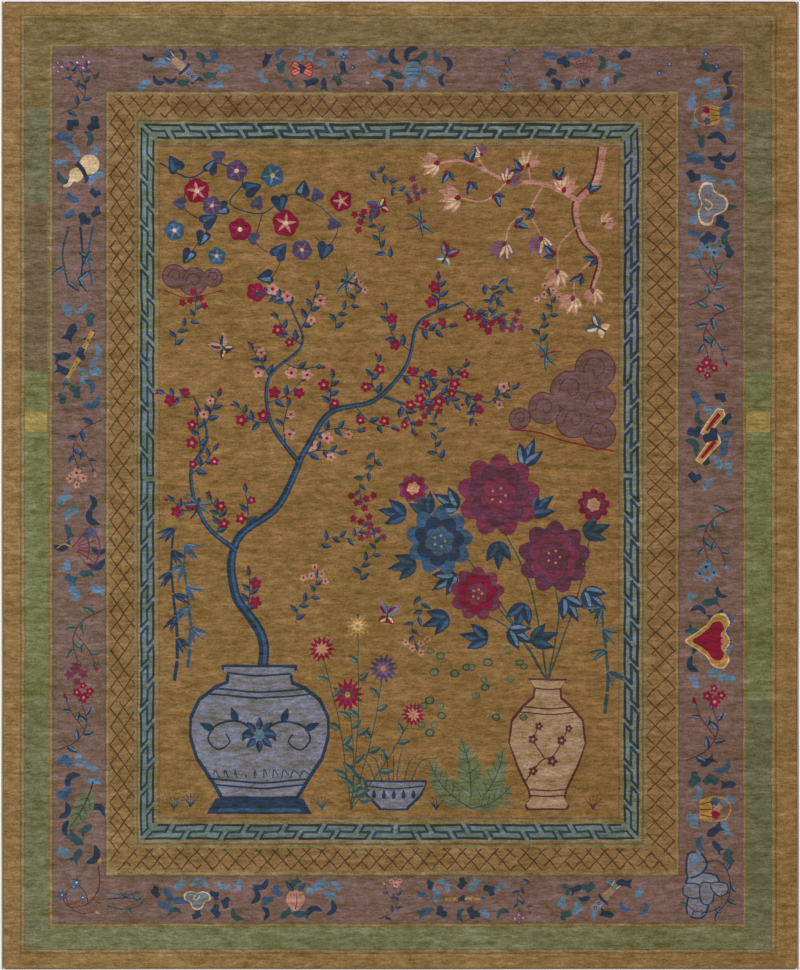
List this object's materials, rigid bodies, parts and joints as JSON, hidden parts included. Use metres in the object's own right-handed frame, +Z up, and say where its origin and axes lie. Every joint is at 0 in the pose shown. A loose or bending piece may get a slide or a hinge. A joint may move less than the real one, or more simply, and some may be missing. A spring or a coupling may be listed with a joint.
{
  "type": "chinese art deco rug",
  "caption": "Flat room-size hand-knotted wool pile carpet with a wide border and overcast side cords, lying on the floor.",
  "frame": {"origin": "on the floor, under the middle of the carpet's outline", "axes": "+X across the width, +Y along the length towards the picture's top edge, +Z up out of the pile"},
  "size_m": [2.438, 2.959, 0.012],
  "materials": {
    "wool_pile": "matt clipped wool pile, dyed gold, green, mauve and indigo",
    "overcast_wool": "matt wool yarn wound over cotton warps"
  },
  "bodies": {
    "root": {"knotted_rug": "wool_pile", "selvedge_left": "overcast_wool", "selvedge_right": "overcast_wool"}
  },
  "joints": []
}
